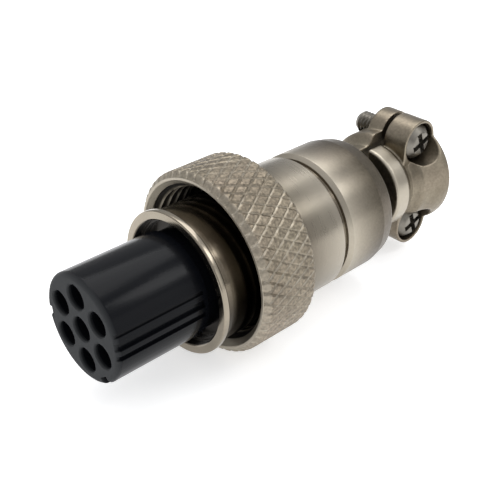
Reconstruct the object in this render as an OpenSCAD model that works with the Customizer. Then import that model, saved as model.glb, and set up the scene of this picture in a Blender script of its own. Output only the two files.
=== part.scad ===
// Inline microphone connector: seven sockets, a loose knurled coupling nut and a two-screw cable clamp.
// The plug lies along X with its mating face towards -X. It rests on the nut and on the clamp's lower ears,
// and hangs a little below the centre of its loose nut. Stations along the plug count from the mating face.

/* [Insert and contacts] */
// Diameter of the moulded insulator, mm
insert_d = 10.6; // [10:0.1:11]
// Length of the insulator in front of the sleeve's lip, mm
insert_reach = 10.2; // [8:0.1:12]
// Rounding of the insulator's front edge, mm
insert_edge = 0.5; // [0.2:0.05:0.8]
// Pitch circle of the outer sockets, mm
socket_pcd = 6.4; // [6:0.05:6.6]
// Number of sockets round the centre one
socket_count = 6; // [3:1:6]
// Diameter of each socket's hole in the insulator, mm
socket_d = 2.35; // [2.2:0.05:2.5]
// Angle of the first outer socket from +Y towards +Z, degrees
socket_turn = 23.8; // [-30:0.1:30]
// Diameter of the pins that the contacts take, mm
pin_d = 1.5; // [1:0.05:1.6]
// Distance from the mating face back to the contacts' mouths, mm
contact_back = 2.2; // [0.6:0.1:2.4]
// Depth of the bore that takes each pin, mm
pin_depth = 6.5; // [5:0.1:7]
// Outer diameter of the contacts' split tubes, mm
tube_d = 2.04; // [1.9:0.02:2.1]
// Outer diameter of the contacts' solder cups, mm
cup_d = 1.9; // [1.7:0.05:2.1]
// Length of the solder cups behind the insulator, mm
cup_len = 4.2; // [3:0.1:5]
// Width of each keyway along the insulator, mm
keyway_w = 1.1; // [0.6:0.1:1.6]
// Depth of each keyway, mm
keyway_depth = 0.75; // [0.4:0.05:1]

/* [Sleeve, collar and shell] */
// Length of the insulator held inside the sleeve, mm
insert_hold = 7.4; // [6:0.1:8]
// Diameter of the open mouth in the lip round the insulator, mm
mouth_d = 12.5; // [11.8:0.1:12.8]
// Diameter of the lip that stops the nut, mm
lip_d = 14.4; // [14:0.1:14.8]
// Length of that lip, mm
lip_len = 0.65; // [0.5:0.05:2]
// Diameter of the sleeve between the lip and the nut, mm
barrel_d = 13.6; // [12.6:0.1:15.2]
// Diameter of the neck that the nut turns on and that the collar and shell sit on, mm
neck_d = 12.5; // [11.6:0.1:12.8]
// Diameter of the collar and the rear shell, mm
body_d = 14.24; // [14:0.02:15]
// Length of the collar behind the nut, mm
collar_len = 6.4; // [4:0.1:8]
// Open seam between the collar and the rear shell, mm
seam = 0.6; // [0.2:0.1:1]
// Length of the rear shell's round barrel, mm
shell_len = 6.9; // [5:0.1:9]
// Length of the shell's tapered rear end, mm
shell_taper = 1.9; // [1:0.1:3]
// Length of the sleeve inside the rear shell, mm
sleeve_hold = 3.6; // [3:0.1:4.5]

/* [Coupling nut] */
// Diameter over the knurl, mm
nut_d = 18.5; // [17.5:0.1:20]
// Length of the nut, mm
nut_len = 6.5; // [6.4:0.1:7.5]
// Length of the nut's inner shoulder, mm
shoulder_len = 1.3; // [1:0.1:1.5]
// Distance from the lip's face back to the nut's face, mm
nut_back = 3.2; // [2.6:0.1:5]
// How far the plug hangs below the centre of its nut, mm
nut_drop = 0.6; // [0:0.05:0.6]
// Clearance between the nut's thread and the sleeve inside it, where they come closest, mm
nut_clear = 0.06; // [0.02:0.01:0.3]
// Major diameter of the inner thread, mm
thread_d = 16; // [14.4:0.1:17]
// Pitch of the inner thread, mm
thread_pitch = 1; // [0.75:0.25:1]
// Diamonds round the knurl
knurl_count = 50; // [46:1:60]
// Angle of the knurl's grooves to the axis, degrees
knurl_angle = 30; // [25:1:40]
// Depth of the knurl's grooves, mm
knurl_depth = 0.24; // [0.15:0.01:0.4]
// Share of each diamond that stays as a flat top
knurl_flat = 0.68; // [0.3:0.02:0.8]

/* [Cable clamp] */
// Distance from the shell's barrel to the strap's front edge, mm
strap_back = 3.2; // [2.8:0.1:3.8]
// Diameter of the strap's front band, mm
band_d = 9.6; // [9.2:0.1:10]
// Length of the strap's front band, mm
band_len = 1.9; // [1.4:0.1:2.2]
// Diameter of the strap's waist, mm
waist_d = 8.4; // [8:0.1:8.8]
// Thickness of the fixed half's ears, mm
fixed_ear = 1.95; // [1.5:0.05:2.5]
// Thickness of the strap's ears under the screw heads, mm
strap_ear = 1.65; // [1.2:0.05:2]
// Depth of the pockets round the screw heads, mm
pocket_depth = 1.3; // [0.8:0.1:1.6]
// Clearance round the screw heads in their pockets, mm
pocket_gap = 0.25; // [0.1:0.05:0.35]
// Rounding radius of the clamp's four ears, mm
ear_r = 2.55; // [2.4:0.05:3]
// Length of the tail behind the barrel, mm
tail_len = 11; // [10:0.1:13]
// Diameter of the tail's narrow neck, mm
tail_d = 9.8; // [9.4:0.1:10.4]
// Diameter of the tail's rear rim, mm
rim_d = 12; // [11.6:0.1:12.6]
// Bore that grips the cable, mm
cable_d = 6; // [5:0.1:6.4]
// Open gap between the clamp's two halves, mm
clamp_gap = 0.45; // [0.3:0.05:1.2]
// Distance of each screw from the plug's axis, mm
screw_reach = 4.95; // [4.9:0.05:5.4]
// Thread diameter of the clamp screws, mm
screw_d = 2.5; // [2:0.1:2.6]
// Length of the clamp screws under their heads, mm
screw_len = 7; // [6:0.5:8]
// Diameter of the screws' pan heads, mm
screw_head_d = 3.9; // [3.6:0.1:4.4]
// Height of the screws' pan heads, mm
screw_head_h = 1.5; // [1.2:0.1:1.8]

/* [Hidden] */

nickel = "#b3aa9b";
black_plastic = "#26282c";
gold = "#c8a662";
zinc = "#9b9da1";

// stations along the plug, from the mating face
lip_s = insert_reach;
nut_s = lip_s + nut_back;
neck_s = nut_s + nut_len - shoulder_len - 0.25;
collar_s = nut_s + nut_len + 0.15;
shell_s = collar_s + collar_len + seam;
tail_s = shell_s + shell_len;
plug_len = tail_s + tail_len;
insert_end = lip_s + insert_hold;
sleeve_end = shell_s + sleeve_hold;

// heights: the nut stands on the table, and the clamp's ears reach down to it as well
axis_h = nut_d / 2 - nut_drop;

insert_r = insert_d / 2;
seat_r = insert_r - 0.3;
mouth_r = mouth_d / 2;
lip_r = lip_d / 2;
neck_r = neck_d / 2;
body_r = body_d / 2;
minor_r = thread_d / 2 - 0.54 * thread_pitch;
shoulder_r = neck_r + nut_drop + 0.05;
under_nut_r = minor_r - nut_drop - nut_clear;

// clamp: the strap's front edge, the screws' station and the seats under their heads
clamp_s = tail_s + 3.5;
strap_s = tail_s + strap_back;
screw_s = plug_len - ear_r - 0.2;
half_gap = clamp_gap / 2;
seat_y = half_gap + strap_ear;
ear_face = seat_y + pocket_depth;
pocket_d = screw_head_d + 2 * pocket_gap;
drum_r = waist_d / 2 + 0.9;
grip_end = plug_len - 2.4;

// knurl lattice
knurl_step = 180 / knurl_count * PI * nut_d / 360 / tan(knurl_angle);
knurl_rows = floor((nut_len - 0.4) / knurl_step);
knurl_len = knurl_rows * knurl_step;
knurl_s = (nut_len - knurl_len) / 2 + 0.08;
root_r = nut_d / 2 - knurl_depth;
core_r = root_r - 0.14;

socket_at = concat([[0, 0]], [for (k = [0 : socket_count - 1])
    socket_pcd / 2 * [cos(socket_turn + 360 / socket_count * k), sin(socket_turn + 360 / socket_count * k)]]);

// quarter rounding of a profile between two directions, in [radius, station]
function fillet(c, r, a0, a1, n = 6) = [for (i = [0 : n]) c + r * [cos(a0 + (a1 - a0) * i / n), sin(a0 + (a1 - a0) * i / n)]];
// smooth step from 0 to 1
function ease(t) = t <= 0 ? 0 : t >= 1 ? 1 : (1 - cos(180 * t)) / 2;

// places what is drawn along X from station 0 on the plug's axis
module on_plug() translate([-plug_len / 2, 0, axis_h]) children();

// places what is drawn along X from the nut's face on the nut's own axis
module on_nut() translate([-plug_len / 2 + nut_s, 0, nut_d / 2]) children();

// body of revolution about X from a profile of [radius, station]
module turned(profile) rotate([0, 90, 0]) rotate_extrude($fn = 96) polygon(profile);

// straight round bar along X between two stations
module bar(d, s0, s1) translate([s0, 0, 0]) rotate([0, 90, 0]) cylinder(d = d, h = s1 - s0, $fn = 48);

// round bar along Y between two places, at a screw's station and on its side of the axis
module cross_bar(d, y0, y1, side) translate([screw_s, y0, side * screw_reach]) rotate([-90, 0, 0]) cylinder(d = d, h = y1 - y0, $fn = 48);

// moulded insulator with a rounded front edge, two keyways and the socket holes
module insert() color(black_plastic) on_plug() difference() {
    turned(concat(
        [[0, 0]],
        fillet([insert_r - insert_edge, insert_edge], insert_edge, -90, 0),
        [[insert_r, lip_s - 0.15], [seat_r, lip_s - 0.15], [seat_r, insert_end], [0, insert_end]]
    ));
    for (p = socket_at) translate([0, p[0], p[1]]) {
        bar(socket_d, -1, insert_end + 1);
        turned([[0, -0.1], [socket_d / 2 + 0.22, -0.1], [socket_d / 2, 0.12], [0, 0.12]]);
    }
    for (a = [-30, -150]) rotate([socket_turn + a, 0, 0])
        translate([-1, insert_r - keyway_depth, -keyway_w / 2]) cube([lip_s + 0.4, 2, keyway_w]);
}

// socket contact: a split tube at the front, a barrel held in the insulator and a solder cup behind
module contact(k) {
    mouth = contact_back;
    held = contact_back + pin_depth + 0.4;
    cup = insert_end + cup_len;
    color(gold) on_plug() translate([0, socket_at[k][0], socket_at[k][1]]) difference() {
        turned([
            [0, mouth], [tube_d / 2 - 0.08, mouth], [tube_d / 2, mouth + 0.12], [tube_d / 2, held], [socket_d / 2, held],
            [socket_d / 2, insert_end], [cup_d / 2, insert_end], [cup_d / 2, cup], [0, cup]
        ]);
        bar(pin_d + 0.06, mouth - 1, mouth + pin_depth);
        translate([mouth - 1, -tube_d, -0.13]) cube([1 + 0.6 * pin_depth, 2 * tube_d, 0.26]);
        bar(cup_d - 0.6, cup - 0.7 * cup_len, cup + 1);
        translate([cup - 0.5 * cup_len, -cup_d, 0.25]) cube([cup_len, 2 * cup_d, cup_d]);
    }
}

// turned sleeve: lip with a stepped mouth, neck for the nut and a long tube that the collar and shell screw on
module front_sleeve() color(nickel) on_plug() turned(concat(
    [[mouth_r + 0.15, lip_s]],
    fillet([lip_r - 0.25, lip_s + 0.25], 0.25, -90, 0),
    [
        [lip_r, lip_s + lip_len - 0.15], [lip_r - 0.15, lip_s + lip_len], [barrel_d / 2, lip_s + lip_len],
        [barrel_d / 2, nut_s - 0.9], [under_nut_r, nut_s - 0.3], [under_nut_r, neck_s], [neck_r, neck_s], [neck_r, sleeve_end], [seat_r - 0.1, sleeve_end], [seat_r - 0.1, insert_end], [seat_r, insert_end],
        [seat_r, lip_s + 1.6], [mouth_r - 0.33, lip_s + 1.6], [mouth_r - 0.33, lip_s + 0.9], [mouth_r, lip_s + 0.9], [mouth_r, lip_s + 0.15]
    ]
));

// point of the knurl at an angle, a station from the nut's face and a radius
function knurl_point(a, s, r) = [s, r * cos(a), r * sin(a)];
function knurl_a(j, i) = (i + (j % 2) / 2) * 360 / knurl_count;

// diamond knurl: V grooves cross at the lattice points, and each diamond between them keeps a flat top
module knurl() {
    n = knurl_count;
    m = knurl_rows;
    half = 180 / n;
    top_r = nut_d / 2;
    inner_r = core_r - 0.3;
    function at(j) = knurl_s + j * knurl_step;
    lattice = [for (j = [0 : m], i = [0 : n - 1]) knurl_point(knurl_a(j, i), at(j), root_r)];
    // tops of whole diamonds, in the order low station, low angle, high station, high angle
    tops = [for (j = [1 : m - 1], i = [0 : n - 1])
        let (a = knurl_a(j, i) + half, k = knurl_flat)
        each [knurl_point(a, at(j) - k * knurl_step, top_r), knurl_point(a - k * half, at(j), top_r),
              knurl_point(a, at(j) + k * knurl_step, top_r), knurl_point(a + k * half, at(j), top_r)]];
    // tops of the half diamonds at both ends, set back from the end
    ends = [for (e = [0, 1], i = [0 : n - 1])
        let (j = e * m, a = knurl_a(j, i) + half, d = e == 0 ? knurl_step : -knurl_step, k = knurl_flat)
        each [knurl_point(a - 0.6 * k * half, at(j) + 0.22 * d, top_r), knurl_point(a, at(j) + k * d, top_r),
              knurl_point(a + 0.6 * k * half, at(j) + 0.22 * d, top_r)]];
    rings = [for (e = [0, 1], i = [0 : n - 1]) knurl_point(knurl_a(e * m, i), at(e * m), inner_r)];
    t0 = len(lattice);
    e0 = t0 + len(tops);
    r0 = e0 + len(ends);
    function node_at(j, i) = j * n + (i + n) % n;
    function ring_at(e, i) = r0 + e * n + (i + n) % n;
    // flank between an edge of a cell and the edge of its top
    function flank(a, b, ta, tb) = [[a, b, tb], [a, tb, ta]];
    whole = [for (j = [1 : m - 1], i = [0 : n - 1])
        let (up = i + j % 2, c = [node_at(j - 1, up), node_at(j, i), node_at(j + 1, up), node_at(j, i + 1)],
             t = [for (q = [0 : 3]) t0 + ((j - 1) * n + i) * 4 + q])
        each concat([[t[0], t[1], t[2]], [t[0], t[2], t[3]]],
            [for (q = [0 : 3]) each flank(c[q], c[(q + 1) % 4], t[q], t[(q + 1) % 4])])];
    front = [for (i = [0 : n - 1])
        let (c = [node_at(0, i), node_at(1, i), node_at(0, i + 1)], t = [for (q = [0 : 2]) e0 + i * 3 + q])
        each concat([t], [for (q = [0 : 2]) each flank(c[q], c[(q + 1) % 3], t[q], t[(q + 1) % 3])],
            [[c[0], c[2], ring_at(0, i + 1)], [c[0], ring_at(0, i + 1), ring_at(0, i)]])];
    back = [for (i = [0 : n - 1])
        let (c = [node_at(m - 1, i + m % 2), node_at(m, i), node_at(m, i + 1)], b = e0 + (n + i) * 3, t = [b + 1, b, b + 2])
        each concat([t], [for (q = [0 : 2]) each flank(c[q], c[(q + 1) % 3], t[q], t[(q + 1) % 3])],
            [[c[2], c[1], ring_at(1, i)], [c[2], ring_at(1, i), ring_at(1, i + 1)]])];
    inside = [for (i = [0 : n - 1])
        each [[ring_at(0, i), ring_at(0, i + 1), ring_at(1, i)], [ring_at(1, i), ring_at(0, i + 1), ring_at(1, i + 1)]]];
    polyhedron(concat(lattice, tops, ends, rings), concat(whole, front, back, inside));
}

// loose coupling nut: knurled ring with a threaded mouth and an inner shoulder that catches the sleeve's lip
module coupling_nut() color(nickel) on_nut() union() {
    thread_end = nut_len - shoulder_len - 0.6;
    turned(concat(
        [[thread_d / 2, 0], [core_r - 0.22, 0], [core_r, 0.22], [core_r, nut_len - 0.3], [core_r - 0.3, nut_len],
         [shoulder_r + 0.25, nut_len], [shoulder_r, nut_len - 0.25], [shoulder_r, nut_len - shoulder_len],
         [thread_d / 2 + 0.05, nut_len - shoulder_len], [thread_d / 2 + 0.05, thread_end], [minor_r, thread_end - 0.15]],
        [for (s = [thread_end - 0.25 : -thread_pitch : thread_pitch]) each
            [[minor_r, s], [thread_d / 2, s - 0.44 * thread_pitch], [minor_r, s - 0.88 * thread_pitch]]],
        [[minor_r, 0.4]]
    ));
    knurl();
}

// plain ring behind the nut, chamfered at both ends
module body_collar() color(nickel) on_plug() turned([
    [neck_r, collar_s], [body_r - 0.08, collar_s], [body_r, collar_s + 0.08], [body_r, collar_s + collar_len - 0.35],
    [body_r - 0.35, collar_s + collar_len], [neck_r, collar_s + collar_len]
]);

// both ears of one clamp half, with their rounded ends, between two places along Y
module ears(y0, y1) for (side = [-1, 1]) {
    cross_bar(2 * ear_r, y0, y1, side);
    translate([screw_s - ear_r, y0, side > 0 ? 0 : -screw_reach]) cube([2 * ear_r, y1 - y0, screw_reach]);
}

// cable way through the clamp, flared at the rear
module cable_way(s0) {
    bar(cable_d, s0, grip_end);
    turned([[0, grip_end], each [for (t = [0 : 0.2 : 1]) [cable_d / 2 + 0.9 * ease(t * 0.6) / ease(0.6), grip_end + t * (plug_len - grip_end)]],
        [cable_d / 2 + 0.9, plug_len + 1], [0, plug_len + 1]]);
}

// rear barrel in one piece with the fixed half of the cable clamp, a trough behind a narrower neck
module rear_shell() color(nickel) difference() {
    union() {
        on_plug() turned([
            [0, shell_s], [body_r - 0.4, shell_s], [body_r, shell_s + 0.4], [body_r, tail_s - shell_taper],
            [body_r - 0.3, tail_s - 0.4], [body_r - 0.45, tail_s - 0.15], [body_r - 0.75, tail_s], [0, tail_s]
        ]);
        on_plug() intersection() {
            turned(concat(
                [[0, tail_s - 1], [tail_d / 2, tail_s - 1]],
                [for (t = [0 : 0.2 : 1]) [tail_d / 2 + (rim_d - tail_d) / 2 * ease(t), clamp_s + 1.2 * t]],
                [[rim_d / 2, plug_len - 0.3], [rim_d / 2 - 0.3, plug_len], [0, plug_len]]
            ));
            translate([tail_s - 2, half_gap, -20]) cube([tail_len + 4, 20, 40]);
        }
        on_plug() ears(half_gap, half_gap + fixed_ear);
    }
    on_plug() {
        bar(neck_d, shell_s - 1, sleeve_end);
        bar(neck_d - 1.4, sleeve_end - 0.1, tail_s - 1.5);
        bar(cable_d + 1.4, tail_s - 2, tail_s + 0.2);
        cable_way(tail_s + 0.1);
    }
    on_plug() for (side = [-1, 1]) cross_bar(screw_d + 0.06, -1, 8, side);
}

// outside of the strap along its length, as [radius, distance behind its front edge]:
// a front rim, a waist, a step and a wide flare up to the rear rim
function strap_profile(len) = concat(
    [[band_d / 2 - 0.2, 0], [band_d / 2, 0.2], [band_d / 2, band_len]],
    [for (t = [0.25 : 0.25 : 1]) [band_d / 2 - (band_d - waist_d) / 2 * ease(t), band_len + 0.9 * t]],
    [[waist_d / 2, band_len + 1.5], [drum_r - 0.6, band_len + 1.8], [drum_r - 0.2, band_len + 2.05], [drum_r, band_len + 2.3]],
    [for (t = [0.2 : 0.2 : 1]) [drum_r + (rim_d / 2 - drum_r) * ease(0.1 + 0.9 * t), band_len + 2.3 + (len - band_len - 2.6) * t]],
    [[rim_d / 2 - 0.3, len]]
);

// loose half of the cable clamp: waisted saddle with two ears and a round pocket for each screw head
module clamp_strap() color(nickel) on_plug() difference() {
    union() {
        intersection() {
            turned(concat([[0, strap_s]],
                [for (p = strap_profile(plug_len - strap_s)) [p[0], strap_s + p[1]]], [[0, plug_len]]));
            translate([strap_s - 1, -20, -20]) cube([tail_len, 20 - half_gap, 40]);
        }
        ears(-ear_face, -half_gap);
    }
    cable_way(strap_s - 1);
    for (side = [-1, 1]) {
        cross_bar(pocket_d, -12, -seat_y, side);
        cross_bar(screw_d + 0.1, -12, 1, side);
    }
}

// pan-head clamp screw with a cross recess, its head outwards at -Y
module clamp_screw(side) {
    lift = 0.02;
    head_r = screw_head_d / 2;
    color(zinc) on_plug() translate([screw_s, -seat_y - lift, side * screw_reach]) rotate([90, 0, 0]) difference() {
        rotate_extrude($fn = 64) polygon(concat(
            [[0, -screw_len], [screw_d / 2 - 0.3, -screw_len], [screw_d / 2, -screw_len + 0.3], [screw_d / 2, 0], [head_r, 0]],
            fillet([head_r - 0.7, screw_head_h - 0.8], 0.7, 0, 62),
            [[0, screw_head_h]]
        ));
        for (a = [20, 110]) rotate([0, 0, a]) translate([-1.25, -0.32, screw_head_h - 0.85]) cube([2.5, 0.64, 2]);
    }
}

insert();
contact(0);  // contact_1
contact(1);  // contact_2
contact(2);  // contact_3
contact(3);  // contact_4
contact(4);  // contact_5
contact(5);  // contact_6
contact(6);  // contact_7
front_sleeve();
coupling_nut();
body_collar();
rear_shell();
clamp_strap();
clamp_screw(1);  // clamp_screw_upper
clamp_screw(-1);  // clamp_screw_lower
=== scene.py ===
# %% [markdown]
# # A microphone connector in Blender
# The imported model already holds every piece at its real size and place, and this lesson dresses it.
# Turned pieces get true round surfaces with soft edges, Geometry Nodes cut the knurl and the threads, and each
# metal or plastic gets a finish of its own. Lengths are in millimetres, and `MM` turns them into metres.
# A station is a distance along the plug, from the mating face towards the cable.

# %% Load the frame
import math

import bmesh
import bpy
from mathutils import Matrix, Vector


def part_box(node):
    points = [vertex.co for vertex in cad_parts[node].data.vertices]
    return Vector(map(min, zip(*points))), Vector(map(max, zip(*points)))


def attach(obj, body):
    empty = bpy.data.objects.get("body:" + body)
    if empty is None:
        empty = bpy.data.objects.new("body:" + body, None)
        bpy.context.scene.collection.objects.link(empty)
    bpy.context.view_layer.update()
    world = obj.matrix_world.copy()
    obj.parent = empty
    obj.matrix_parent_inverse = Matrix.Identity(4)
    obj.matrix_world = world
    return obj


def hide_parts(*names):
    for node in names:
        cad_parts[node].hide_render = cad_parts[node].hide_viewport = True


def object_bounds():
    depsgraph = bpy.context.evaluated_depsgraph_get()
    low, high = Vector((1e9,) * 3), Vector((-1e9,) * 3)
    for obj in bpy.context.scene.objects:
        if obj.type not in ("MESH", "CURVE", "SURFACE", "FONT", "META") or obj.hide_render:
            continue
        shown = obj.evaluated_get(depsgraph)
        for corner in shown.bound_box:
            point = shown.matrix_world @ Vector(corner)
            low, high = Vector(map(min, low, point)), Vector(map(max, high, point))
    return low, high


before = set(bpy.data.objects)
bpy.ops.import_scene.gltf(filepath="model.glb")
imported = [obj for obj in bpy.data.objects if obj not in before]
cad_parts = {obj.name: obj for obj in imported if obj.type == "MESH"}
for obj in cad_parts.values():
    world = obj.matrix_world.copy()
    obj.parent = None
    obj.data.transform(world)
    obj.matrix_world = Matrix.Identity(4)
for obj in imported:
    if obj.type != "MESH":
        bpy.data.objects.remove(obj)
cad_box = [list(corner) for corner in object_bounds()]
MM = 0.001
scene = bpy.context.scene


def axis_height(node):
    """Height of a round node's axis over the table."""
    low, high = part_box(node)
    return low.z / 2 + high.z / 2


front_x = cad_box[0][0]
plug_z, nut_z = axis_height("body_collar"), axis_height("coupling_nut")
print("CAD box", cad_box, "plug axis at", round(plug_z / MM, 3), "nut axis at", round(nut_z / MM, 3))

# %% [markdown]
# ## The camera
# The photograph was taken from close by, a little above the mating face and to the strap's side.
# A camera can be moved by eye until the picture fits, or worked out from shapes that are known to be round.
# Here the ellipses of the insert, the lip and the barrel gave both the place and the lens, so there is no shift.

# %% Camera
camera_from_face = Vector((-31.85, -54.99, 47.15)) * MM
azimuth, elevation = math.radians(-43.3), math.radians(32.26)
towards_camera = Vector((math.sin(azimuth) * math.cos(elevation),
                         -math.cos(azimuth) * math.cos(elevation),
                         math.sin(elevation)))
lens = bpy.data.cameras.new("camera")
lens.sensor_width, lens.lens, lens.clip_start = 36, 64.8, 1 * MM
camera = bpy.data.objects.new("camera", lens)
scene.collection.objects.link(camera)
camera.location = Vector((front_x, 0, plug_z)) + camera_from_face
camera.rotation_euler = (-towards_camera).to_track_quat("-Z", "Y").to_euler()
scene.camera = camera
print("camera at", [round(c / MM, 1) for c in camera.location], "mm")

# %% [markdown]
# ## Floor
# The connector lies on white. A floor could be lit until it is white, but then the metal would be lit as well.
# So this floor is pale and glows a little, and only the camera and reflections see the glow: the background comes
# out white, the metal mirrors it, and the soft shadow under the plug stays.

# %% Node helper
def add_node(tree, kind, inputs=(), **settings):
    """New node in a tree, with its settings made and each input linked or filled."""
    node = tree.nodes.new(kind)
    for key, value in settings.items():
        setattr(node, key, value)
    for key, value in dict(inputs).items():
        if isinstance(value, bpy.types.NodeSocket):
            tree.links.new(value, node.inputs[key])
        else:
            node.inputs[key].default_value = value
    return node


# %% Floor
reach, floor_glow = 3, 0.55
floor_mesh = bpy.data.meshes.new("floor")
corners = [(-reach, -reach, 0), (reach, -reach, 0), (reach, reach, 0), (-reach, reach, 0)]
floor_mesh.from_pydata(corners, [], [(0, 1, 2, 3)])
floor = bpy.data.objects.new("floor", floor_mesh)
scene.collection.objects.link(floor)
floor_paint = bpy.data.materials.new("floor_paint")
floor_paint.use_nodes = True
floor_tree = floor_paint.node_tree
paint = floor_tree.nodes["Principled BSDF"].inputs
paint["Base Color"].default_value = (0.85, 0.85, 0.85, 1)
paint["Roughness"].default_value = 0.9
paint["Specular IOR Level"].default_value = 0.1
paint["Emission Color"].default_value = (1, 1, 1, 1)
ray = add_node(floor_tree, "ShaderNodeLightPath").outputs
seen = ray["Is Camera Ray"]
for kind in ("Is Glossy Ray", "Is Transmission Ray"):
    seen = add_node(floor_tree, "ShaderNodeMath", {0: seen, 1: ray[kind]}, operation="MAXIMUM").outputs[0]
glow = add_node(floor_tree, "ShaderNodeMath", {0: seen, 1: floor_glow}, operation="MULTIPLY")
floor_tree.links.new(glow.outputs[0], paint["Emission Strength"])
floor_paint.cycles.emission_sampling = "NONE"
floor_mesh.materials.append(floor_paint)
print("floor", 2 * reach, "m wide")

# %% [markdown]
# ## World and lamps
# Polished metal shows what stands around it, so the room matters as much as the lamps. A picture of a studio could
# light it, but a plain fade from a darker horizon to a bright ceiling needs no file and is easy to tune.
# Three soft lamps add to it. The small one, from the cable's end, makes the bright streak along the top.

# %% World
horizon_grey, ceiling_grey, ceiling_from = (0.42, 0.42, 0.42, 1), (0.85, 0.86, 0.88, 1), 0.75
scene.view_settings.view_transform = "Standard"
world = bpy.data.worlds.new("studio")
scene.world = world
world.use_nodes = True
room = world.node_tree
height = add_node(room, "ShaderNodeSeparateXYZ", {0: add_node(room, "ShaderNodeTexCoord").outputs["Generated"]})
fade = add_node(room, "ShaderNodeValToRGB", {"Fac": height.outputs["Z"]})
horizon, ceiling = fade.color_ramp.elements
horizon.position, horizon.color = 0.0, horizon_grey
ceiling.position, ceiling.color = ceiling_from, ceiling_grey
room.links.new(fade.outputs["Color"], room.nodes["Background"].inputs["Color"])
print("world fades from", horizon_grey[0], "to", ceiling_grey[0])


# %% Lamps
def lamp(name, direction, distance, size, watts):
    """Square soft lamp that looks at the middle of the plug."""
    data = bpy.data.lights.new(name, "AREA")
    data.size, data.energy = size, watts
    lit = bpy.data.objects.new(name, data)
    scene.collection.objects.link(lit)
    aim = Vector((0, 0, plug_z))
    lit.location = aim + Vector(direction).normalized() * distance
    lit.rotation_euler = (aim - lit.location).to_track_quat("-Z", "Y").to_euler()


lamp("streak_lamp", (0.48, -0.50, 0.72), distance=0.40, size=0.13, watts=0.22)
lamp("top_lamp", (0.25, 0.25, 1.0), distance=0.60, size=0.50, watts=2.0)
lamp("side_lamp", (0.30, -0.95, 0.20), distance=0.60, size=0.40, watts=0.4)

# %% [markdown]
# ## Nickel plate
# Sleeve, nut, collar, shell and strap are plated with nickel, a warm grey metal. A lathe leaves fine rings round the
# axis and a casting leaves a faint grain. Images could show that, but noise nodes fit a piece of any size. So one
# recipe serves them all: a metal whose tint, roughness and bump follow noise that is stretched the way the tool went.
# Two numbers on the mesh help it. One brightens: painted highlights on edges, thread crests and knurl lines, uneven
# wear on the knurl, and a lighter lip. The other darkens: painted shade deep in the nut and on the sleeve's lower side,
# and the browner tone of the shell's barrel. Both fade along a face from one end to the other.

# %% Finish helper
class Finish:
    """A material with its Principled shader, and short ways to add and wire its nodes."""

    def __init__(self, name, colour, metallic, roughness):
        self.material = bpy.data.materials.new(name)
        self.material.use_nodes = True
        self.tree = self.material.node_tree
        self.shader = self.tree.nodes["Principled BSDF"].inputs
        self.shader["Base Color"].default_value = (*colour, 1)
        self.shader["Metallic"].default_value = metallic
        self.shader["Roughness"].default_value = roughness
        self.place = self.add("TexCoord").outputs["Object"]

    def add(self, kind, inputs=(), **settings):
        return add_node(self.tree, "ShaderNode" + kind, inputs, **settings)

    def wire(self, socket, name):
        self.tree.links.new(socket, self.shader[name])

    def noise(self, scale, detail, stretch=None, roughness=0.5):
        """Noise in patches of about 1 / scale metres, longer along an axis where stretch is small."""
        place = self.place
        if stretch:
            place = self.add("Mapping", {"Vector": place, "Scale": stretch}).outputs[0]
        sizes = {"Scale": scale, "Detail": detail, "Roughness": roughness}
        return self.add("TexNoise", {"Vector": place, **sizes}).outputs["Fac"]

    def spread(self, value, low, high):
        """Number from low to high, as a value goes over 0.3 to 0.7, which noise mostly fills."""
        limits = {"From Min": 0.3, "From Max": 0.7, "To Min": low, "To Max": high}
        return self.add("MapRange", {"Value": value, **limits}).outputs["Result"]

    def over(self, under, share, colour):
        """Colour laid over what is under it, by a share from 0 to 1."""
        inputs = {"Factor": share, "A": under, "B": (*colour, 1)}
        return self.add("Mix", inputs, data_type="RGBA").outputs["Result"]

    def bump(self, height, strength, depth, **below):
        """Surface direction from a height that is depth metres at its most."""
        inputs = {"Height": height, "Strength": strength, "Distance": depth, **below}
        return self.add("Bump", inputs).outputs["Normal"]


# %% Nickel
nickel_olive, nickel_rose, nickel_dark = (0.288, 0.258, 0.192), (0.298, 0.247, 0.193), (0.180, 0.151, 0.112)
pit_brown, highlight_and_wear_bright, shade_and_tone_dark = (0.10, 0.085, 0.065), (0.435, 0.395, 0.327), (0.008, 0.006, 0.004)
round_axis, every_way = (1.0, 0.02, 0.02), None
cloud_scale, hue_scale, pit_scale, dark_share, mark_depth = 260.0, 170.0, 3800.0, (0.85, 0.05), 0.02 * MM


def nickel(name, tone, run, marks, bump, rough, pits):
    """Nickel plate: tone is its brightness, run the way its tool marks lie, marks how many there are to a metre,
    bump how deep they show, rough the range of its roughness and pits how much fine dark grain it has."""
    olive, rose, dark = ([c * tone for c in colour] for colour in (nickel_olive, nickel_rose, nickel_dark))
    look = Finish(name, rose, 1, rough[0])
    tooled = look.noise(marks, detail=3.0, stretch=run, roughness=0.6)
    cloud = look.noise(cloud_scale, detail=5.0)
    hue, grain = look.noise(hue_scale, detail=2.0), look.noise(pit_scale, detail=3.0)
    plate = look.over((*olive, 1), look.spread(hue, 0.0, 1.0), rose)
    plate = look.over(plate, look.spread(cloud, *dark_share), dark)
    plate = look.over(plate, look.spread(grain, 0.0, pits), pit_brown)
    # painted highlight and painted shade: the first number mixes towards pale nickel, the second towards near black;
    # the second also gives the barrel its darker tone
    for attribute, colour in (("highlight_and_wear", highlight_and_wear_bright), ("shade_and_tone", shade_and_tone_dark)):
        plate = look.over(plate, look.add("Attribute", attribute_name=attribute).outputs["Fac"], colour)
    look.wire(plate, "Base Color")
    both = look.add("Math", {0: tooled, 1: cloud}, operation="ADD").outputs[0]
    mean = look.add("Math", {0: both, 1: 0.5}, operation="MULTIPLY").outputs[0]
    look.wire(look.spread(mean, *rough), "Roughness")
    look.wire(look.bump(tooled, bump, mark_depth), "Normal")
    return look.material


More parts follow.
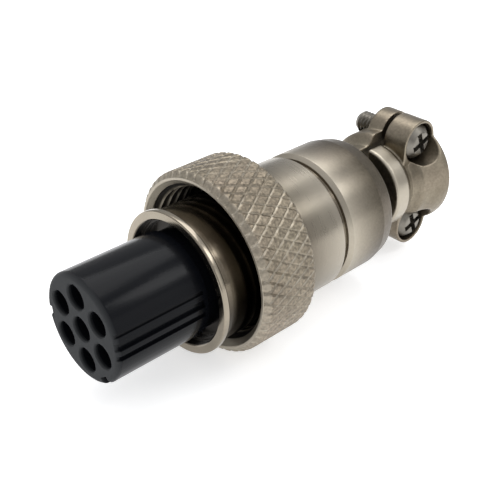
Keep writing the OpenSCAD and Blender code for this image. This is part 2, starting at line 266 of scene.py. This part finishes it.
turned_nickel = nickel("turned_nickel", 0.50, round_axis, 5200.0, bump=0.4, rough=(0.23, 0.38), pits=0.3)
polished_nickel = nickel("polished_nickel", 0.9, round_axis, 5200.0, bump=0.2, rough=(0.13, 0.24), pits=0.2)
cast_nickel = nickel("cast_nickel", 1.0, every_way, 2600.0, bump=0.35, rough=(0.28, 0.46), pits=0.4)
knurl_nickel = nickel("knurl_nickel", 1.3, every_way, 3000.0, bump=0.9, rough=(0.40, 0.58), pits=0.9)
print("nickel", [m.name for m in (turned_nickel, polished_nickel, cast_nickel, knurl_nickel)])

# %% [markdown]
# ## Tools for turned pieces
# Most of the connector is turned on a lathe. Blender's Screw modifier sweeps an outline too, but a few lines of mesh
# code keep the outline as numbers, close the surface by themselves and give each corner a rounding of its own.
# An outline is a closed list of (station, radius, rounding). The sweep starts at +Y and goes towards +Z.

# %% Lathe
touching = 1e-7


def rounded(outline, steps=4):
    """Points of an outline, with an arc at each corner that has a rounding."""
    points = []
    for k, (s, r, *rounding) in enumerate(outline):
        here = Vector((s, r))
        if not rounding:
            points.append(here)
            continue
        arc_r = rounding[0]
        before = (Vector(outline[k - 1][:2]) - here).normalized()
        after = (Vector(outline[(k + 1) % len(outline)][:2]) - here).normalized()
        half = before.angle(after) / 2
        centre = here + (before + after).normalized() * (arc_r / math.sin(half))
        first, last = here + before * (arc_r / math.tan(half)), here + after * (arc_r / math.tan(half))
        for i in range(steps + 1):
            spoke = (first - centre).lerp(last - centre, i / steps).normalized()
            points.append(centre + spoke * arc_r)
    return points


def weld(mesh, turn_out=False):
    """Join points that lie on each other, and turn the faces outwards where asked."""
    bm = bmesh.new()
    bm.from_mesh(mesh)
    bmesh.ops.remove_doubles(bm, verts=bm.verts, dist=touching)
    if turn_out:
        bmesh.ops.recalc_face_normals(bm, faces=bm.faces)
    bm.to_mesh(mesh)
    bm.free()


def mesh_object(name, verts, faces):
    """New object from points in metres and their faces."""
    mesh = bpy.data.meshes.new(name)
    mesh.from_pydata(verts, [], faces)
    weld(mesh, turn_out=True)
    obj = bpy.data.objects.new(name, mesh)
    scene.collection.objects.link(obj)
    return obj


def lathe(name, points, segments=192):
    """Closed surface of revolution about X, from points in millimetres."""
    n = len(points)
    verts = [(s * MM, r * MM * math.cos(t), r * MM * math.sin(t))
             for t in (2 * math.pi * k / segments for k in range(segments)) for s, r in points]
    faces = []
    for k in range(segments):
        here, there = k * n, (k + 1) % segments * n
        faces += [(here + i, here + (i + 1) % n, there + (i + 1) % n, there + i) for i in range(n)]
    return mesh_object(name, verts, faces)


# %% Shading and dressing
def shade(obj, name, rule):
    """Store a number at every point as a named attribute, from a rule of station and radius in millimetres
    and of how far up the point faces, from -1 to 1. Where a number is there already, the larger one stays."""
    values = obj.data.attributes.get(name) or obj.data.attributes.new(name, "FLOAT", "POINT")
    for point, vertex in zip(values.data, obj.data.vertices):
        across = max(vertex.co.yz.length, 1e-9)
        point.value = max(point.value, rule(vertex.co.x / MM, across / MM, vertex.co.z / across))


def dress(obj, node, body, look, sharp=38):
    """Give a piece its finish and its body, and hide the imported node it stands for. Edges over sharp degrees stay
    crisp.
    """
    obj.data.materials.clear()
    obj.data.materials.append(look)
    obj.data.shade_smooth()
    obj.data.set_sharp_from_angle(angle=math.radians(sharp))
    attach(obj, body)
    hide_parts(node)
    print(obj.name, "stands for", node, "with", sum(len(p.vertices) - 2 for p in obj.data.polygons), "triangles")


# %% [markdown]
# ## Sleeve
# The sleeve is a turned tube. It holds the insert, its lip keeps the nut from coming off, and the collar and the
# shell sit on its neck, where a low ring shows as the floor of the seam between them. It could be cut from cylinders
# with booleans, but one outline says it all, so it is drawn as a turner would: over the lip, along the neck and back
# through the bore. Inside the nut little light reaches it, so a rule darkens it the deeper and the lower it lies.

# %% Sleeve
on_plug = Matrix.Translation((front_x, 0, plug_z))
lip = [(10.2, 6.4, 0.04), (10.2, 7.2, 0.16), (10.85, 7.2, 0.15), (10.85, 6.8, 0.06)]
barrel_in_nut = [(13.0, 6.8), (15.5, 6.8), (18.35, 6.8, 0.1)]
neck = [(18.35, 6.25), (26.45, 6.25), (26.45, 6.55), (27.05, 6.55), (27.05, 6.25), (30.65, 6.25)]
bore = [(30.65, 4.9), (17.6, 4.9), (17.6, 5.0), (11.8, 5.0)]
mouth = [(11.8, 5.92, 0.05), (11.1, 5.92, 0.05), (11.1, 6.25, 0.05), (10.35, 6.25, 0.05)]
sleeve = lathe("sleeve", rounded(lip + barrel_in_nut + neck + bore + mouth))
lip_back, inside_r, mouth_front, mouth_back, nut_back = 10.9, 6.3, 10.3, 18, 20
shade_from, shade_per_mm, low_from, low_shade, most_low = 11.6, 0.25, 0.5, 1.3, 0.75


def sleeve_shadow(s, r, up):
    """Almost black in the mouth, bright on the lip, and darker the deeper and lower it lies in the nut."""
    if r < inside_r and mouth_front < s < mouth_back:
        return 0.99
    if s < lip_back:
        return 0.0
    if s > nut_back:
        return 0.3
    deep = max(0.0, s - shade_from) * shade_per_mm
    low = max(0.0, min(most_low, (low_from - up) * low_shade))
    return min(0.97, deep + low)


shade(sleeve, "shade_and_tone", sleeve_shadow)
shade(sleeve, "highlight_and_wear", lambda s, r, up: 0.3 if s < lip_back and r > inside_r else 0.0)
sleeve.data.transform(on_plug)
dress(sleeve, "front_sleeve", "plug", polished_nickel)

# %% [markdown]
# ## Collar
# The collar is the plain ring behind the nut, turned all over, with a chamfer at the rear that is painted bright, a
# painted highlight where its rounding catches the light. A cylinder with a bevel would come close, but the outline
# gives the chamfer its true size.

# %% Collar
collar = lathe("collar", rounded([
    (20.05, 6.25), (20.05, 7.04, 0.02), (20.13, 7.12, 0.04), (26.1, 7.12, 0.08), (26.45, 6.77, 0.08), (26.45, 6.25)]))
chamfer_front, chamfer_r = 26.05, 6.7
# painted highlight on the rear chamfer
shade(collar, "highlight_and_wear", lambda s, r, up: 0.7 if s > chamfer_front and r > chamfer_r else 0.0)
collar.data.transform(on_plug)
dress(collar, "body_collar", "plug", turned_nickel)

# %% [markdown]
# ## Geometry Nodes that cut by rule
# A knurl and a thread are both a rule for the radius at an angle and a station. They could be cut with hundreds of
# booleans, or modelled once and repeated. Here a node tree reads each point's position, works out the radius that
# the rule allows and moves the point along its own spoke. That is quick, and the sizes stay open as named inputs.

# %% Radius rule
class RadiusRule:
    """Geometry Nodes tree that gives each point a new radius, with an input for each size and one for the finish."""

    def __init__(self, name, sizes):
        self.tree = bpy.data.node_groups.new(name, "GeometryNodeTree")
        kinds = {"Geometry": "Geometry", **{size: "Float" for size in sizes}, "Finish": "Material"}
        for label, kind in kinds.items():
            self.tree.interface.new_socket(label, in_out="INPUT", socket_type="NodeSocket" + kind)
        self.tree.interface.new_socket("Geometry", in_out="OUTPUT", socket_type="NodeSocketGeometry")
        self.given = self.add("NodeGroupInput").outputs
        place = self.add("GeometryNodeInputPosition").outputs[0]
        self.x, self.y, self.z = self.add("ShaderNodeSeparateXYZ", {0: place}).outputs
        y_squared, z_squared = self.maths("MULTIPLY", self.y, self.y), self.maths("MULTIPLY", self.z, self.z)
        self.radius = self.maths("SQRT", self.maths("ADD", y_squared, z_squared))
        self.turn = self.maths("DIVIDE", self.maths("ARCTAN2", self.z, self.y), 2 * math.pi)

    def add(self, kind, inputs=(), **settings):
        return add_node(self.tree, kind, inputs, **settings)

    def maths(self, operation, *values):
        return self.add("ShaderNodeMath", dict(enumerate(values)), operation=operation).outputs[0]

    def pick(self, choice, yes, no):
        """One of two numbers, by a choice of 1 or 0."""
        refused = self.maths("SUBTRACT", 1.0, choice)
        return self.maths("ADD", self.maths("MULTIPLY", yes, choice), self.maths("MULTIPLY", no, refused))

    def close(self, new_radius, label, mark):
        """End the tree: store a mark, move the points, and hand on real geometry with its finish."""
        grow = self.maths("DIVIDE", new_radius, self.maths("MAXIMUM", self.radius, 1e-6))
        y, z = self.maths("MULTIPLY", self.y, grow), self.maths("MULTIPLY", self.z, grow)
        spot = self.add("ShaderNodeCombineXYZ", {0: self.x, 1: y, 2: z}).outputs[0]
        marked = self.add("GeometryNodeStoreNamedAttribute", {
            "Geometry": self.given["Geometry"], "Name": label, "Value": mark}, data_type="FLOAT", domain="POINT")
        moved = self.add("GeometryNodeSetPosition", {"Geometry": marked.outputs["Geometry"], "Position": spot})
        whole = self.add("GeometryNodeRealizeInstances", {"Geometry": moved.outputs["Geometry"]})
        coated = self.add("GeometryNodeSetMaterial", {
            "Geometry": whole.outputs["Geometry"], "Material": self.given["Finish"]})
        self.add("NodeGroupOutput", {"Geometry": coated.outputs["Geometry"]})


# %% [markdown]
# ## Rule of the diamond knurl
# A knurl is rolled into the nut by two wheels, whose slanted grooves cross and leave diamonds. Copies of one diamond
# would all be alike. Real ones aren't, because the wheels bite unevenly, so here two sets of slanted V grooves are
# worked out from the angle and the station, and noise varies their depth and how brightly their lines are worn.
# The lines of one set are painted brighter than the other's, a painted highlight on the flanks that face the lamp.

# %% Diamond knurl
knurl = RadiusRule("diamond knurl", ["Diamonds", "Start", "Rise", "Groove", "Depth", "Floor"])
faint_lines = 0.45


def groove(phase):
    """1 along a groove's middle, and 0 from its edges on."""
    off_line = knurl.maths("DIVIDE", knurl.maths("PINGPONG", phase, 0.5), knurl.given["Groove"])
    return knurl.maths("SUBTRACT", 1.0, knurl.maths("MINIMUM", off_line, 1.0))


def uneven(scale, low, high):
    """Noise from low to high, in patches of about 1 / scale metres. Values of 0.3 to 0.7 are spread to 0 to 1."""
    noise = knurl.add("ShaderNodeTexNoise", {"Scale": scale}).outputs[0]
    share = knurl.maths("MINIMUM", 1.0, knurl.maths("MULTIPLY_ADD", noise, 2.5, -0.75))
    return knurl.maths("MULTIPLY_ADD", knurl.maths("MAXIMUM", 0.0, share), high - low, low)


along = knurl.maths("DIVIDE", knurl.maths("SUBTRACT", knurl.x, knurl.given["Start"]), knurl.given["Rise"])
around = knurl.maths("MULTIPLY", knurl.turn, knurl.given["Diamonds"])
left_cut = groove(knurl.maths("ADD", around, along))
right_cut = groove(knurl.maths("SUBTRACT", around, along))
knurled = knurl.maths("GREATER_THAN", knurl.radius, knurl.given["Floor"])
cuts = knurl.maths("MULTIPLY", knurl.maths("MAXIMUM", left_cut, right_cut), knurled)
sunk = knurl.maths("MULTIPLY", knurl.maths("MULTIPLY", cuts, uneven(380.0, 0.55, 1.1)), knurl.given["Depth"])
# painted highlight: the lines of one set of grooves are bright and the other's faint, as if one set of flanks caught
# the lamp; noise varies the brightness unevenly
lines = knurl.maths("MAXIMUM", left_cut, knurl.maths("MULTIPLY", right_cut, faint_lines))
lit_and_worn_lines = knurl.maths("MULTIPLY", knurl.maths("MULTIPLY", lines, knurled), uneven(1900.0, 0.3, 1.15))
knurl.close(knurl.maths("SUBTRACT", knurl.radius, sunk), "highlight_and_wear", lit_and_worn_lines)
print("rule", knurl.tree.name, "with", len(knurl.tree.nodes), "nodes")

# %% [markdown]
# ## Rule of the thread
# The nut has an inner thread, and each screw an outer one. A helix swept along its path is the usual way, but it
# leaves ends to hide and a seam to close. As a rule it needs neither: the radius rises and falls once for each
# pitch, shifted by the angle. A negative depth cuts into a shaft, and a positive one into a bore.

# %% Screw thread
thread = RadiusRule("screw thread", ["Pitch", "Root", "Depth", "Start", "End"])
flank_slope = 2.3
phase = thread.maths("SUBTRACT", thread.maths("DIVIDE", thread.x, thread.given["Pitch"]), thread.turn)
wave = thread.maths("MINIMUM", thread.maths("MULTIPLY", thread.maths("PINGPONG", phase, 0.5), flank_slope), 1.0)
wanted = thread.maths("ADD", thread.given["Root"], thread.maths("MULTIPLY", wave, thread.given["Depth"]))
outer = thread.maths("LESS_THAN", thread.given["Depth"], 0.0)
cut = thread.pick(outer, thread.maths("MINIMUM", thread.radius, wanted), thread.maths("MAXIMUM", thread.radius, wanted))
after_start = thread.maths("GREATER_THAN", thread.x, thread.given["Start"])
within = thread.maths("MULTIPLY", after_start, thread.maths("LESS_THAN", thread.x, thread.given["End"]))
thread.close(thread.pick(within, cut, thread.radius), "turns", thread.maths("MULTIPLY", within, wave))
print("rule", thread.tree.name, "with", len(thread.tree.nodes), "nodes")

# %% [markdown]
# ## Coupling nut
# The nut is the piece that fingers turn: knurled outside, threaded inside, with a shoulder that catches the sleeve's
# lip. A plain ring with bump would look right from the front only, so the grooves are real. The outline has a ring of
# points wherever a rule needs one, twelve to a diamond and twelve to a turn, and each square of the knurled band
# gets a point in its middle, so that edges run along both sets of grooves.

# %% Run a rule
def settle(obj):
    """Bake the modifiers into the mesh."""
    graph = bpy.context.evaluated_depsgraph_get()
    baked = bpy.data.meshes.new_from_object(obj.evaluated_get(graph))
    obj.modifiers.clear()
    old, obj.data = obj.data, baked
    bpy.data.meshes.remove(old)
    baked.name = obj.name
    return obj


def follow_rule(obj, rule, finish, **sizes):
    """Run a rule on a piece with its finish and its sizes, and keep the result as a plain mesh."""
    modifier = obj.modifiers.new(rule.tree.name, "NODES")
    modifier.node_group = rule.tree
    for item in rule.tree.interface.items_tree:
        if item.name == "Finish":
            modifier[item.identifier] = finish
        elif item.name in sizes:
            modifier[item.identifier] = float(sizes[item.name])
    return settle(obj)


# %% Nut blank
nut_face, nut_r, nut_len, edge_r, edge_slope = 13.4, 9.25, 6.5, 8.83, 1.1
knurl_start, knurl_end, diamond_rise, knurl_rows, knurl_floor = 0.31, 6.35, 2.01333, 36, 8.8
thread_r, thread_back, mouth_r, mouth_slope, rings_to_turn = 7.46, 4.58, 8.46, 0.95, 12
knurl_rings = [knurl_start + (knurl_end - knurl_start) * row / knurl_rows for row in range(-1, knurl_rows + 1)]
front_edge = [(0.03, 8.42), (0.0, 8.47), (0.0, 8.68), (0.04, 8.73)]
outside = [(s, min(nut_r, edge_r + (s - 0.15) * edge_slope, edge_r + (nut_len - s) * edge_slope)) for s in knurl_rings]
shoulder = rounded([(nut_len, 8.57, 0.06), (nut_len, 7.15, 0.06), (6.25, 6.9, 0.06),
                    (5.2, 6.9, 0.05), (5.2, 8.05, 0.1), (4.62, 8.05, 0.1)])
thread_rings = [thread_back - k / rings_to_turn for k in range(55)]
threaded = [(s, max(thread_r, mouth_r - s * mouth_slope)) for s in thread_rings if s > 0.04]
nut = lathe("nut", front_edge + outside + shoulder + threaded, segments=600)
bm = bmesh.new()
bm.from_mesh(nut.data)
band = [face for face in bm.faces if all(v.co.yz.length > knurl_floor * MM for v in face.verts)
        and knurl_rings[0] * MM < face.calc_center_median().x < knurl_rings[-1] * MM]
bmesh.ops.poke(bm, faces=band)
bm.to_mesh(nut.data)
bm.free()
print("nut blank with", len(band), "squares for the knurl")


# %% Nut
mouth_depth, thread_floor_r, crest_r, front_edge_r = 0.6, 8.06, 7.57, 8.72
groove_shade_per_mm, deep_from, deep_shade_per_mm = 9.0, 2.4, 0.35


def nut_shadow(s, r, up):
    """Dark in the thread's grooves and deep in the bore. The outside and the mouth's edge stay bright."""
    if r > thread_floor_r or s < mouth_depth:
        return 0.0
    in_groove = max(0.0, r - crest_r) * groove_shade_per_mm
    deep = max(0.0, s - deep_from) * deep_shade_per_mm
    return min(0.98, in_groove + deep)


def nut_highlight(s, r, up):
    """A painted highlight on the thread's crests deep in the dark bore, bright round the mouth, and a little on the
    front edge.
    """
    on_crest = r < crest_r + 0.01 and s > mouth_depth
    round_mouth = r < front_edge_r and s < mouth_depth
    if on_crest or round_mouth:
        return 0.9
    return 0.35 if s < mouth_depth + 0.02 else 0.0


follow_rule(nut, knurl, knurl_nickel, Diamonds=50, Start=knurl_start * MM, Rise=diamond_rise * MM, Groove=1 / 6,
            Depth=0.15 * MM, Floor=knurl_floor * MM)
follow_rule(nut, thread, knurl_nickel, Pitch=1.0 * MM, Root=thread_r * MM, Depth=0.54 * MM,
            Start=0.05 * MM, End=4.5 * MM)
shade(nut, "shade_and_tone", nut_shadow)
shade(nut, "highlight_and_wear", nut_highlight)
nut.data.transform(Matrix.Translation((front_x + nut_face * MM, 0, nut_z)))
dress(nut, "coupling_nut", "nut", knurl_nickel, sharp=30)

# %% [markdown]
# ## Black plastic
# The insert is moulded in glossy black plastic. The mould's walls leave faint lines along the plug, and the mating
# face comes out greyer and more matt. One glossy black would look like a hole in the picture, so the gloss follows
# noise stretched along the plug, and the face is found by its station.

# %% Black plastic
moulded_black, face_grey, face_rough = (0.004, 0.0045, 0.006), (0.040, 0.042, 0.044), 0.62
side_rough, face_from, face_to = (0.14, 0.26), front_x + 0.45 * MM, front_x + 0.02 * MM
plastic = Finish("black_moulding", moulded_black, 0, 0.3)
plastic.shader["Specular IOR Level"].default_value = 0.095
draw_lines = plastic.noise(1900.0, detail=3.0, stretch=(0.02, 1.0, 1.0))
grain = plastic.noise(5200.0, detail=2.0)
x = plastic.add("SeparateXYZ", {0: plastic.place}).outputs["X"]
face = plastic.add("MapRange", {"Value": x, "From Min": face_from, "From Max": face_to}).outputs["Result"]
plastic.wire(plastic.over((*moulded_black, 1), face, face_grey), "Base Color")
gloss = plastic.spread(draw_lines, *side_rough)
plastic.wire(plastic.add("Mix", {"Factor": face, "A": gloss, "B": face_rough}).outputs["Result"], "Roughness")
drawn = plastic.bump(draw_lines, 0.35, 0.03 * MM)
plastic.wire(plastic.bump(grain, 0.15, 0.02 * MM, Normal=drawn), "Normal")
print("plastic", plastic.material.name)

# %% [markdown]
# ## Insert
# The insert keeps the seven contacts apart. Its holes have a small lead-in for the pins, two keyways let it enter the
# mating part one way only, and three finer slots run along its side. The holes could be left out of a swept
# profile, but then the rounded front edge would be lost. So it is turned first, and then drilled and slotted with
# booleans, in the order in which it could be made by hand.

# %% Cutting helpers
def block(name, low, high):
    """Box between two corners in millimetres."""
    verts = [(x * MM, y * MM, z * MM) for x in (low[0], high[0]) for y in (low[1], high[1]) for z in (low[2], high[2])]
    return mesh_object(name, verts, [
        (0, 1, 3, 2), (4, 6, 7, 5), (0, 4, 5, 1), (2, 3, 7, 6), (0, 2, 6, 4), (1, 5, 7, 3)])


def carve(obj, *others, operation="DIFFERENCE"):
    """Boolean with each other object in turn, which is then thrown away."""
    for other in others:
        modifier = obj.modifiers.new("carve", "BOOLEAN")
        modifier.operation, modifier.object, modifier.solver = operation, other, "EXACT"
        settle(obj)
        weld(obj.data)
        bpy.data.meshes.remove(other.data)
    return obj


# %% Insert
insert_r, socket_r, socket_circle, first_socket = 5.3, 1.175, 3.2, math.radians(23.8)
insert = lathe("socket_insert", rounded([
    (0, 0), (0, insert_r, 0.5), (10.05, insert_r, 0.05), (10.05, 5.0), (17.6, 5.0), (17.6, 0)], steps=6))
angles = [first_socket + k * math.pi / 3 for k in range(6)]
for y, z in [(0.0, 0.0)] + [(socket_circle * math.cos(a), socket_circle * math.sin(a)) for a in angles]:
    lead_in = [(-1, 0), (-1, 2.395), (0.12, socket_r, 0.12)]
    drill = lathe("drill", rounded(lead_in + [(18.5, socket_r), (18.5, 0)], steps=3), segments=72)
    drill.data.transform(Matrix.Translation((0, y * MM, z * MM)))
    carve(insert, drill)
# degrees from the first socket, depth and half width
keyways = [(-30, 0.75, 0.55), (-150, 0.75, 0.55)]
fine_slots = [(136.2, 0.25, 0.17), (147.7, 0.4, 0.38), (160, 0.32, 0.27)]
for from_first_socket, depth, half_width in keyways + fine_slots:
    slot = block("slot", (-1, insert_r - depth, -half_width), (9.6, 7, half_width))
    slot.data.transform(Matrix.Rotation(first_socket + math.radians(from_first_socket), 4, "X"))
    carve(insert, slot)
insert.data.transform(on_plug)
dress(insert, "insert", "plug", plastic.material, sharp=30)

# %% [markdown]
# ## Tools for the clamp
# The clamp's two halves are small castings: saddles with ears, bored for the cable and the screws. A mould leaves
# their edges soft all over, and a Bevel modifier stumbles where so many round cuts meet. So each half is built from
# sharp solids with booleans, and a voxel remesh with a little smoothing then softens every edge alike.

# %% Clamp helpers
plug_end, screw_s, screw_reach, half_gap = 44.94, 42.2, 4.95, 0.225
ear_r, cable_r, flare_s, flare_len, flare_r = 2.55, 3.0, 42.55, 2.4, 3.9
along_y = Matrix(((0, 1, 0, 0), (1, 0, 0, 0), (0, 0, -1, 0), (0, 0, 0, 1)))


def swell(t):
    """Smooth rise from 0 to 1."""
    return (1 - math.cos(math.pi * t)) / 2


def post(name, radius, y0, y1, side, segments=64):
    """Round bar along Y on a screw's axis, as the ears, the pockets and the screw holes are."""
    obj = lathe(name, [(y0, 0), (y0, radius), (y1, radius), (y1, 0)], segments)
    obj.data.transform(Matrix.Translation((screw_s * MM, 0, side * screw_reach * MM)) @ along_y)
    return obj


def ears(y0, y1):
    """A round end and a root for each ear. A root is a hair smaller than its end, so that no faces coincide."""
    made = []
    for side in (-1, 1):
        made.append(post("ear", ear_r, y0, y1, side))
        z0, z1 = sorted((0.01 * side, 1.004 * side * screw_reach))
        made.append(block("ear_root", (screw_s - 0.995 * ear_r, y0 + 0.003, z0),
                          (screw_s + 0.995 * ear_r, y1 - 0.003, z1)))
    return made


def cable_way(start):
    """Drill for the cable, which flares towards the rear end."""
    flare = [(flare_s + flare_len * t, cable_r + (flare_r - cable_r) * swell(0.6 * t) / swell(0.6))
             for t in (0.25, 0.5, 0.75, 1.0)]
    return lathe("cable_way", [(start, 0), (start, cable_r), (flare_s, cable_r)] + flare + [(46, flare_r), (46, 0)],
                 segments=96)


def cast(obj, voxel, rounds):
    """Remesh and relax, which softens every edge by about two voxels."""
    remesh = obj.modifiers.new("cast", "REMESH")
    remesh.mode, remesh.voxel_size = "VOXEL", voxel * MM
    relax = obj.modifiers.new("relax", "SMOOTH")
    relax.factor, relax.iterations = 0.5, rounds
    return settle(obj)


# %% [markdown]
# ## Rear shell
# The rear shell is one casting: a barrel that screws on to the neck, and behind it the fixed half of the clamp.
# Both could be one mesh out of booleans, but a remesh would blur the barrel, which is turned smooth on the real one.
# So the barrel is swept as the collar is, only the clamp half is remeshed, and the two are joined as one piece.

# %% Barrel
barrel_edge, edge_floor_r, taper_from = 27.5, 6.65, 32
barrel = lathe("barrel", rounded([
    (27.05, 6.25), (27.05, 6.72, 0.08), (27.45, 7.12, 0.08), (32.05, 7.12, 0.6), (33.55, 6.82, 0.25), (33.8, 6.67, 0.1),
    (33.95, 6.37, 0.1), (33.95, 3.7), (32.45, 3.7), (32.45, 5.55), (30.65, 5.55), (30.65, 6.25)]))
# painted highlight on the front chamfer at the seam
shade(barrel, "highlight_and_wear", lambda s, r, up: 0.7 if s < barrel_edge and r > edge_floor_r else 0.0)
# the barrel darker and browner in tone, a little less on its rear taper; the front chamfer is left bright
shade(barrel, "shade_and_tone", lambda s, r, up: 0.0 if s < barrel_edge else 0.585 if s < taper_from else 0.48)
print("barrel with", len(barrel.data.vertices), "points")


# %% Fixed half and shell
def join(name, *objs):
    """One object from the meshes of several."""
    bm = bmesh.new()
    for obj in objs:
        bm.from_mesh(obj.data)
        bpy.data.meshes.remove(obj.data)
    mesh = bpy.data.meshes.new(name)
    bm.to_mesh(mesh)
    bm.free()
    joined = bpy.data.objects.new(name, mesh)
    scene.collection.objects.link(joined)
    return joined


stem_r, saddle_r, fixed_ear, fixed_hole_r = 4.9, 6.0, 1.95, 1.28
rise = [(37.45 + 0.24 * k, stem_r + 1.1 * swell(k / 5)) for k in range(6)]
fixed_half = lathe("fixed_half", [(33.2, 0), (33.2, stem_r)] + rise + [
    (44.65, saddle_r), (plug_end, 5.7), (plug_end, 0)], segments=128)
carve(fixed_half, block("far_side", (30, half_gap, -20), (50, 20, 20)), operation="INTERSECT")
carve(fixed_half, *ears(half_gap, half_gap + fixed_ear), operation="UNION")
screw_holes = [post("hole", fixed_hole_r, -1, 8, side, segments=47) for side in (-1, 1)]
carve(fixed_half, cable_way(start=32), *screw_holes)
cast(fixed_half, voxel=0.13, rounds=3)
shell = join("shell", barrel, fixed_half)
shell.data.transform(on_plug)
dress(shell, "rear_shell", "plug", cast_nickel)

# %% [markdown]
# ## Strap
# The strap is the loose half of the clamp: a rim in front, a waist, and a saddle with ears whose pockets take the
# screw heads. It could be sculpted, but it is round about the cable, so its outline is swept, halved, and then
# given ears, pockets and holes. A finer remesh than the shell's keeps the thin walls of the pockets.

# %% Strap
strap_front, strap_len = 37.15, plug_end - 37.15
head_seat, pocket_wall, pocket_r, strap_hole_r = half_gap + 1.65, 1.3, 2.2, 1.3
rim_highlight_to, rim_highlight_from_r = 39.0, 4.5
rim = [(0, 4.6), (0.2, 4.8), (1.9, 4.8)]
waist = [(1.9 + 0.9 * t, 4.8 - 0.6 * swell(t)) for t in (0.25, 0.5, 0.75, 1.0)]
waist += [(3.4, 4.2), (3.7, 4.5), (3.95, 4.9), (4.2, 5.1)]
saddle = [(4.2 + (strap_len - 4.5) * t, 5.1 + 0.9 * swell(0.1 + 0.9 * t)) for t in (0.2, 0.4, 0.6, 0.8, 1.0)]
saddle += [(strap_len, 5.7)]
outline = [(strap_front + s, r) for s, r in rim + waist + saddle]
strap = lathe("strap", [(strap_front, 0)] + outline + [(plug_end, 0)], segments=128)
carve(strap, block("near_side", (30, -20, -20), (50, -half_gap, 20)), operation="INTERSECT")
carve(strap, *ears(-(head_seat + pocket_wall), -half_gap), operation="UNION")
for side in (-1, 1):
    carve(strap, post("pocket", pocket_r, -12, -head_seat, side, segments=61),
          post("hole", strap_hole_r, -11, 1, side, segments=47))
carve(strap, cable_way(start=33))
cast(strap, voxel=0.10, rounds=3)
# painted highlight round the strap's front rim
shade(strap, "highlight_and_wear", lambda s, r, up: 0.75 if s < rim_highlight_to and r > rim_highlight_from_r else 0.0)
strap.data.transform(on_plug)
dress(strap, "clamp_strap", "strap", cast_nickel)

# %% [markdown]
# ## Zinc plate
# The clamp screws are steel with a thin plate of zinc, darker and greyer than the nickel beside it. A flat grey metal
# would do at this size, but the plate is never even, so its tint, roughness and bump share one cloud of noise.
# The same recipe, with other tints, serves for the gold of the contacts.

# %% Zinc
def plated(name, dark, light, rough):
    """Thin bright plate with a slightly uneven tint."""
    look = Finish(name, light, 1, rough)
    cloud = look.noise(900.0, detail=3.0)
    look.wire(look.over((*dark, 1), look.spread(cloud, 0.0, 1.0), light), "Base Color")
    look.wire(look.spread(cloud, rough * 0.8, rough * 1.3), "Roughness")
    look.wire(look.bump(cloud, 0.2, 0.03 * MM), "Normal")
    return look.material


screw_zinc = plated("screw_zinc", (0.16, 0.148, 0.128), (0.26, 0.243, 0.212), 0.42)
print("plate", screw_zinc.name)

# %% [markdown]
# ## Clamp screws
# Two small pan-head screws with cross recesses pull the strap to the fixed half. One screw could be made and copied,
# but each rides on a body of its own, so a loop makes both. The blank is turned with rings of points along the
# shank, the thread's rule cuts it, and two blocks cut the cross.

# %% Screws
shank_r, screw_pitch, rings_to_pitch, head_r, head_top = 1.25, 0.45, 8, 1.95, 1.5
cross_floor, cross_reach, cross_half, cross_angles, head_play = 0.65, 1.25, 0.32, (20, 110), 0.02
tip = [(-7.0, 0), (-7.0, 0.95), (-6.7, shank_r)]
shank = [(-6.6 + k * screw_pitch / rings_to_pitch, shank_r) for k in range(112)]
head = rounded([(0.0, shank_r), (0.0, head_r, 0.1), (0.75, head_r, 0.5), (head_top, 1.2, 0.4), (head_top, 0)], steps=5)
head_to_strap = Matrix(((0, 1, 0, 0), (-1, 0, 0, 0), (0, 0, 1, 0), (0, 0, 0, 1)))
for which, side in (("upper", 1), ("lower", -1)):
    screw = lathe("screw_" + which, tip + shank + head, segments=72)
    follow_rule(screw, thread, screw_zinc, Pitch=screw_pitch * MM, Root=shank_r * MM, Depth=-0.24 * MM,
                Start=-6.9 * MM, End=-0.4 * MM)
    for angle in cross_angles:
        wing = block("wing", (cross_floor, -cross_reach, -cross_half), (3, cross_reach, cross_half))
        wing.data.transform(Matrix.Rotation(math.radians(angle), 4, "X"))
        carve(screw, wing)
    seat = Vector((screw_s * MM, -(head_seat + head_play) * MM, side * screw_reach * MM))
    screw.data.transform(on_plug @ Matrix.Translation(seat) @ head_to_strap)
    dress(screw, "clamp_screw_" + which, which + "_screw", screw_zinc, sharp=30)

# %% [markdown]
# ## Contacts
# Seven gold-plated sockets stand back in the insert's holes, where little light reaches them. Their shape in the
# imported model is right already, so they keep it, and only their finish is new.

# %% Contacts
contact_gold = plated("contact_gold", (0.30, 0.19, 0.06), (0.48, 0.33, 0.12), 0.30)
contacts = [obj for node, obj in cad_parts.items() if node.startswith("contact_")]
for contact in contacts:
    contact.data.materials.clear()
    contact.data.materials.append(contact_gold)
print(len(contacts), "contacts in", contact_gold.name)
